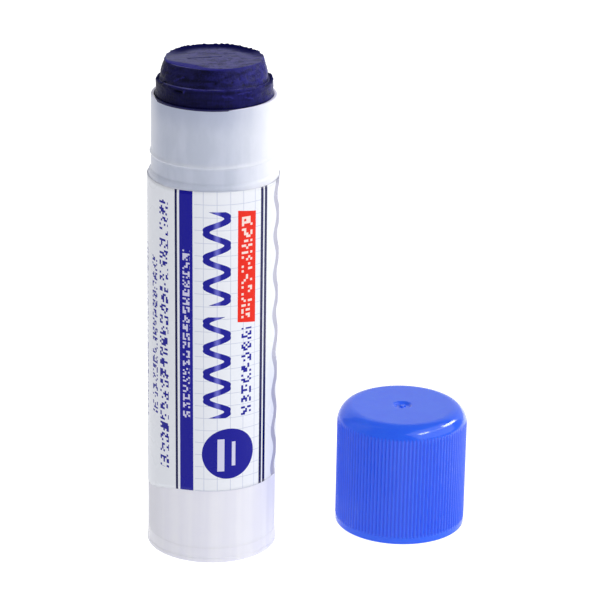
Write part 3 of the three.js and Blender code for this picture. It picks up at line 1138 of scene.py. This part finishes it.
# %% [markdown]
# ## The label
# The label is a thin printed film. It is printed flat, cut with a wavy edge at one end, and
# wrapped round the barrel with its other end underneath. A tube could carry a pattern, but it
# would have no ends. So we do as the maker does: a flat grid in millimetres keeps its flat place
# in a UV map, and is then rolled up. The wavy end is on top and springs up a little.

# %% Label: size of the flat film
film_radius = 12.03
film_growth = 0.09
film_thickness = 0.05
film_flare = 0.03
film_end_lift = 0.2
film_start = -300.0
film_end = 75.7
wave_height = 2.9
wave_length = 7.65
wave_crest = 20.1
film_top = 72.72
film_bottom = 14.65
sag_depth = 2.3
sag_angle = -75
sag_width = 32
arc = math.radians(1) * (film_radius + film_growth)
print(f"flat film {arc * (film_end - film_start):.1f} x {film_top - film_bottom:.1f} mm")

# %% [markdown]
# No real film is cut and laid quite straight. The lower edge sags on the left of the front, the
# upper edge wanders by a tenth of a millimetre, and the loose end is cut in waves.

# %% Label: cut edges
def film_lower_edge(around):
    """The cut of the lower edge, which sags a little on the left of the front."""
    return film_bottom - sag_depth * bell(around, sag_angle, sag_width)


def film_upper_edge(around):
    return film_top + 0.12 * math.sin(math.radians(around * 4 + 60))


def film_cut(level):
    """Where the wavy end lies at a height, in degrees round the barrel."""
    return film_end + wave_height * math.cos(math.tau * (level - wave_crest) / wave_length)


print("the lower edge is at", round(film_lower_edge(0), 2), "mm at the front")

# %% [markdown]
# ## The print
# The print is drawn in the flat film's millimetres: u runs round the stick and v is the height.
# A picture could be laid on the film, but a drawn print stays sharp from near and needs no file.
# Bars and boxes are simple comparisons. The small marks are random blocks set in columns, and a
# wavy line of even stroke runs up the middle.

# %% Helpers: colours and shapes of the print
ink_navy = colour(6, 6, 150)
ink_stripe = colour(8, 3, 152)
ink_red = colour(236, 30, 0)
ink_line = colour(4, 6, 78)
ink_grid = colour(190, 197, 222)
paper = colour(240, 243, 251)
painted_edge_shade = colour(176, 176, 196)
cells_in_group = 5
filled_group = 0.8


def block_column(tree, u, v, sides, ends, cell, share, seed):
    """A column of small random blocks in groups. Sides are in u and ends in v."""
    inside = u.between(*sides) * v.between(*ends)
    columns = (u - sides[0]) / cell
    rows = v / cell
    cells = add_node(tree, "ShaderNodeCombineXYZ", {
        "X": columns.math("FLOOR"), "Y": rows.math("FLOOR"), "Z": seed})
    random = add_node(tree, "ShaderNodeTexWhiteNoise", {"Vector": cells.outputs["Vector"]})
    filled = Field(tree, random.outputs["Value"]).math("LESS_THAN", share)
    group = (v / (cell * cells_in_group)).math("FRACT").math("LESS_THAN", filled_group)
    return inside * filled * group


def squiggle(u, v, centre, reach, low, high, period, stroke):
    """A wavy line of even stroke that runs along the label."""
    pace = math.tau / period
    phase = (v - low) * pace
    line = phase.math("SINE") * reach
    slope = phase.math("COSINE") * (reach * pace)
    width = (slope * slope + 1.0).math("SQRT") * (stroke / 2)
    distance = (u - centre - line).math("ABSOLUTE")
    return distance.math("LESS_THAN", width) * v.between(low, high)


def disc(u, v, centre_u, centre_v, radius):
    across = u - centre_u
    along = v - centre_v
    return (across * across + along * along).math("LESS_THAN", radius * radius)


print("inks:", [tuple(round(level, 2) for level in ink[:3]) for ink in (ink_navy, ink_red)])

# %% [markdown]
# The print is laid down in layers, as on a press. The first layer holds what is ruled: a pale
# grid, thin rules near both sides and one broad stripe.

# %% Print: grid, rules and stripe
grid_u_step = 2.47
grid_v_step = 2.42
grid_line = 0.045


def print_rules(tree, base, u_left, u_right, v):
    """The pale grid, the thin rules and the broad stripe."""
    grid_u = ((u_left + 1.49) / grid_u_step).math("FRACT").near(0.0, grid_line)
    grid_v = ((v - 70.27) / grid_v_step).math("FRACT").near(0.0, grid_line)
    grid = grid_u.either(grid_v) * u_left.between(-3.1, 10.2)
    base = mix(tree, grid * 0.75, base, ink_grid)
    base = mix(tree, u_left.between(-6.05, -3.42), base, ink_stripe)
    rules = u_left.between(-7.02, -6.52).either(u_right.between(9.82, 10.5))
    rules = rules.either(u_right.between(10.84, 11.54))
    return mix(tree, rules, base, ink_line)


print("a grid line is", round(grid_line * grid_v_step, 2), "mm wide")

# %% [markdown]
# The second layer holds the marks. Columns of small blocks stand on the paper and, in a paler
# ink, on the stripe. The wavy line has a painted highlight along its middle.

# %% Print: small marks and wavy line
marked_columns = [
    # from u to u, from v to v, size of a block, seed
    ((-19.6, -18.4), (26.0, 54.0), 0.34, 13.0),
    ((-17.2, -16.0), (26.0, 60.0), 0.34, 11.0),
    ((-13.5, -11.7), (28.0, 58.6), 0.36, 3.0),
    ((-10.9, -8.6), (18.0, 70.0), 0.42, 5.0),
    ((5.7, 7.8), (29.3, 46.5), 0.42, 7.0),
]
wavy_lines = [
    # from v to v, length of a wave
    (51.2, 69.0, 5.09),
    (29.2, 49.0, 4.95),
]
wave_centre = 1.0
wave_reach = 1.9
wave_stroke = 1.2


def print_marks(tree, base, u_left, u_right, v):
    """Columns of small blocks and the two stretches of the wavy line."""
    on_stripe = block_column(tree, u_left, v, (-5.4, -4.0), (29.0, 61.5), 0.34, 0.5, 1.0)
    base = mix(tree, on_stripe, base, colour(214, 212, 240))
    for sides, ends, cell, seed in marked_columns:
        u = u_right if sides[0] > 0 else u_left
        column = block_column(tree, u, v, sides, ends, cell, 0.5, seed)
        base = mix(tree, column, base, ink_navy)
    # painted highlight along the middle of the wavy line
    shine = u_left.ramp(0.2, 1.0) * u_left.ramp(1.9, 1.1)
    wave_ink = mix(tree, shine, ink_navy, colour(106, 108, 206))
    for low, high, period in wavy_lines:
        wave = squiggle(u_left, v, wave_centre, wave_reach, low, high, period, wave_stroke)
        base = mix(tree, wave, base, wave_ink)
    return base


print(len(marked_columns), "columns of marks,", len(wavy_lines), "stretches of wavy line")

# %% [markdown]
# The last layer holds the panels: a red panel that sits slightly askew, with pale marks on it,
# and a round badge with two pale bars.

# %% Print: panels
panel_sides = (4.9, 8.6)
panel_ends = (47.5, 68.8)
panel_middle = 6.75
panel_slant = 0.14
badge_u = 3.53
badge_v = 22.05
badge_radius = 5.0
badge_bars = [
    # from u to u, from v to v
    ((1.4, 2.7), (18.6, 25.0)),
    ((4.1, 4.8), (19.6, 24.4)),
]


def print_panels(tree, base, u, u_right, v):
    """The red panel and the round badge."""
    askew = v + (u_right - panel_middle) * panel_slant
    red = u_right.between(*panel_sides) * askew.between(*panel_ends)
    base = mix(tree, red, base, ink_red)
    marks = block_column(tree, u_right, v, (5.65, 7.85), (48.4, 67.8), 0.44, 0.36, 9.0)
    base = mix(tree, marks, base, colour(250, 226, 218))
    base = mix(tree, disc(u, v, badge_u, badge_v, badge_radius), base, ink_navy)
    for sides, ends in badge_bars:
        bar = u.between(*sides) * v.between(*ends)
        base = mix(tree, bar, base, colour(214, 214, 240))
    return base


print("the red panel is", round(panel_sides[1] - panel_sides[0], 1), "mm wide")

# %% [markdown]
# The film's own material reads the UV map and puts the layers together. Along the wavy end, which
# springs up a little, runs a strip of painted shade, and beside it, on the layer below, a narrow
# line of the same painted shade. The clear film over the print gives it a low, even shine.

# %% Material: printed film
left_lean = 0.0066
right_lean = 0.0035
lean_from = 72.4
strip_width = 1.5
under_width = 0.8


def printed_film(name):
    """The film with its print. The print leans a little, as it was laid on."""
    material, tree, shader = new_material(name)
    flat = add_node(tree, "ShaderNodeUVMap", uv_map="flat").outputs["UV"]
    split = add_node(tree, "ShaderNodeSeparateXYZ", {0: flat})
    u = Field(tree, split.outputs["X"])
    v = Field(tree, split.outputs["Y"])
    u_left = u + (v - lean_from) * left_lean
    u_right = u + (v - lean_from) * right_lean
    base = print_rules(tree, paper, u_left, u_right, v)
    base = print_marks(tree, base, u_left, u_right, v)
    base = print_panels(tree, base, u, u_right, v)
    wave = ((v - wave_crest) * (math.tau / wave_length)).math("COSINE")
    past_cut = u - (wave * (wave_height * arc) + film_end * arc)
    # painted shade along the lifted wavy end, and a line of it beside the end on the layer below
    edge_strip = (past_cut + strip_width).math("GREATER_THAN", 0.0)
    under_strip = (past_cut + (360 * arc - under_width)).math("LESS_THAN", 0.0)
    base = mix(tree, edge_strip.either(under_strip), base, painted_edge_shade)

    clouds = grain(tree, place_on(tree), 6.0, 2)
    gloss = clouds.ramp(0.3, 0.7, 0.2, 0.3)
    tree.links.new(base, shader.inputs["Base Color"])
    tree.links.new(gloss.socket, shader.inputs["Roughness"])
    tree.links.new(bump(tree, clouds, 0.03), shader.inputs["Normal"])
    shader.inputs["IOR"].default_value = 1.3
    return material


film_print = printed_film("printed_label_film")
print("label material", film_print.name)

# %% [markdown]
# Now the film itself. The grid is cut to its edges and each corner's flat place is noted. Then
# the film is rolled up, and a Solidify modifier gives it its thickness outwards.

# %% Label: flat grid, cut and rolled
bend_from = 60
flare_height = 2.0
lift_angle = 7

label = bmesh.new()
bmesh.ops.create_grid(label, x_segments=260, y_segments=80, size=0.5)
flat_map = label.loops.layers.uv.new("flat")
flat_place = {}
for vert in label.verts:
    across = vert.co.x + 0.5
    upward = vert.co.y + 0.5
    around = film_start + across * (film_end - film_start)
    low = film_lower_edge(around)
    level = low + upward * (film_upper_edge(around) - low)
    if around > bend_from:
        past_bend = around - bend_from
        around = bend_from + past_bend * (film_cut(level) - bend_from) / (film_end - bend_from)
    flat_place[vert] = (around, level)
for face in label.faces:
    for loop in face.loops:
        around, level = flat_place[loop.vert]
        loop[flat_map].uv = (around * arc, level)
for vert, (around, level) in flat_place.items():
    share = (around - film_start) / (film_end - film_start)
    lifted = film_flare * clamp((level - film_top + flare_height) / flare_height) ** 2
    radius = (film_radius + film_growth * share * (1 - lifted / film_flare) + lifted) * MM
    radius += film_end_lift * clamp((around - film_end + lift_angle) / lift_angle) ** 2 * MM
    angle = math.radians(around)
    vert.co = Vector((radius * math.sin(angle), -radius * math.cos(angle), level * MM))
bmesh.ops.recalc_face_normals(label, faces=label.faces)
outward = sum(face.normal.dot(face.calc_center_median().xy.to_3d()) for face in label.faces)
if outward < 0:
    bmesh.ops.reverse_faces(label, faces=label.faces)
film = make_piece(label, "label_film", film_print, "stick", "label", crease=80)
thickness = film.modifiers.new("thickness", "SOLIDIFY")
thickness.thickness = film_thickness * MM
thickness.offset = 1

# %% [markdown]
# ## Inside pieces
# The screw and the carrier stand hidden in the barrel. They could be made anew like the others,
# but nothing of them shows, so they keep the frame's solids and only get their finish: the
# unpolished natural plastic that such pieces are moulded in.

# %% Material: inner plastic
def inner_plastic(name):
    material, tree, shader = new_material(name)
    clouds = grain(tree, place_on(tree), 1.5, 3)
    fine = grain(tree, place_on(tree), 0.2, 2)
    base = mix(tree, clouds.ramp(0.3, 0.7), colour(222, 222, 226), colour(236, 236, 240))
    tree.links.new(base, shader.inputs["Base Color"])
    tree.links.new(fine.ramp(0.3, 0.7, 0.42, 0.56).socket, shader.inputs["Roughness"])
    tree.links.new(bump(tree, fine, 0.01), shader.inputs["Normal"])
    return material


inner = inner_plastic("natural_inner_plastic")
for name in ("spindle", "carrier"):
    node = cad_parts[name]
    node.data.materials.clear()
    node.data.materials.append(inner)
    print(name, "keeps the frame's solid,", len(node.data.polygons), "faces")

# %% [markdown]
# ## Floor and light
# The object stands on a white surface that is lit from below, so it casts no visible shadow
# and the floor throws light up onto the sides. Lamps under a glass floor could do that, but a
# floor that glows is quieter. It glows fully for the camera and less for the light that it throws
# on the object. In reflections it is dim on the left and bright on the right, as a table beside a
# window is, which gives the glossy sides their fall of light.

# %% Floor
floor_radius = 3.0
floor_material, floor_tree, floor_shader = new_material("white_floor")
floor_shader.inputs["Base Color"].default_value = colour(176, 176, 178)
floor_shader.inputs["Roughness"].default_value = 0.9
floor_shader.inputs["Specular IOR Level"].default_value = 0.0
floor_shader.inputs["Emission Color"].default_value = (1, 1, 1, 1)
light_path = add_node(floor_tree, "ShaderNodeLightPath")
seen = Field(floor_tree, light_path.outputs["Is Camera Ray"])
reflected = Field(floor_tree, light_path.outputs["Is Glossy Ray"])
floor_place = add_node(floor_tree, "ShaderNodeSeparateXYZ", {0: place_on(floor_tree)})
floor_across = Field(floor_tree, floor_place.outputs["X"])
gloss_glow = floor_across.ramp(-0.13, 0.0, -0.07, 0.26) + floor_across.ramp(0.045, 0.09, 0.0, 0.6)
glow = seen * 0.38 + reflected * gloss_glow + 0.62
floor_tree.links.new(glow.socket, floor_shader.inputs["Emission Strength"])
floor_mesh = bpy.data.meshes.new("floor")
floor_bm = bmesh.new()
bmesh.ops.create_circle(floor_bm, cap_ends=True, segments=64, radius=floor_radius)
floor_bm.to_mesh(floor_mesh)
floor_bm.free()
floor_mesh.materials.append(floor_material)
floor = bpy.data.objects.new("floor", floor_mesh)
bpy.context.scene.collection.objects.link(floor)
floor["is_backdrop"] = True
print("floor", floor.dimensions.x, "m across")

# %% [markdown]
# The room is white for the camera and dim for the object. A world picture could light the object
# too, but its light comes from everywhere, and it is the panels that shape the object.

# %% Room light
world = bpy.data.worlds.new("white_room")
bpy.context.scene.world = world
world.use_nodes = True
room = world.node_tree
room.nodes.clear()
dim = add_node(room, "ShaderNodeBackground", {"Color": (1, 1, 1, 1), "Strength": 0.48})
bright = add_node(room, "ShaderNodeBackground", {"Color": (1, 1, 1, 1), "Strength": 1.0})
to_camera = add_node(room, "ShaderNodeLightPath").outputs["Is Camera Ray"]
both = add_node(room, "ShaderNodeMixShader", {
    0: to_camera, 1: dim.outputs[0], 2: bright.outputs[0]})
add_node(room, "ShaderNodeOutputWorld", {"Surface": both.outputs[0]})
bpy.context.scene.view_settings.view_transform = "Standard"
print("room light", dim.inputs["Strength"].default_value)

# %% [markdown]
# The panels are a white wall behind, a broad soft panel on the right, and a thin strip of light
# above it, with two brighter stretches, that draws the streak on the cap's round edge. The strip
# only draws highlights: it would wash out the colours if it also lit them.

# %% Light panels
light_centre = Vector((18, 5, 45)) * MM


def toward(azimuth, elevation):
    """A direction from the object. Azimuth 0 points to the front and 90 to the right."""
    turned = math.radians(azimuth)
    raised = math.radians(elevation)
    flat = math.cos(raised)
    return Vector((math.sin(turned) * flat, -math.cos(turned) * flat, math.sin(raised)))


def panel(name, start, end, distance, height, brightness, diffuse=True):
    """A panel from one direction to another. Without diffuse it only draws highlights."""
    first = light_centre + toward(*start) * distance
    last = light_centre + toward(*end) * distance
    middle = (first + last) / 2
    along = (last - first).normalized()
    away = (middle - light_centre).normalized()
    upward = away.cross(along).normalized()
    data = bpy.data.lights.new(name, "AREA")
    data.shape = "RECTANGLE"
    data.size = (last - first).length
    data.size_y = height
    data.energy = brightness * data.size * height * math.pi
    light = bpy.data.objects.new(name, data)
    bpy.context.scene.collection.objects.link(light)
    turning = Matrix((along, upward, along.cross(upward))).transposed().to_4x4()
    light.matrix_world = Matrix.Translation(middle) @ turning
    light.visible_camera = False
    light.visible_diffuse = diffuse
    facing = (light.matrix_world.to_3x3() @ Vector((0, 0, -1))).dot(away)
    print(name, round(data.size, 2), "m long, faces the object:", facing < 0)


panel("back_wall", (130, 14), (230, 14), 1.2, 0.7, 0.42)
panel("broad_panel", (22, 28), (112, 28), 1.1, 0.9, 1.3)
panel("strip_light", (34, 39), (128, 19), 1.0, 0.06, 2.5, diffuse=False)
panel("strip_left", (37, 41), (60, 44.5), 0.95, 0.1, 16.0, diffuse=False)
panel("strip_right", (98, 39.5), (126, 24.5), 0.95, 0.15, 14.0, diffuse=False)

# %% [markdown]
# ## The size of the model
# The size of what we modelled is printed, in millimetres.

# %% Print the size of the model
low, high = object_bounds()
print("visual box in mm:", [round(value / MM, 2) for value in [*low, *high]])
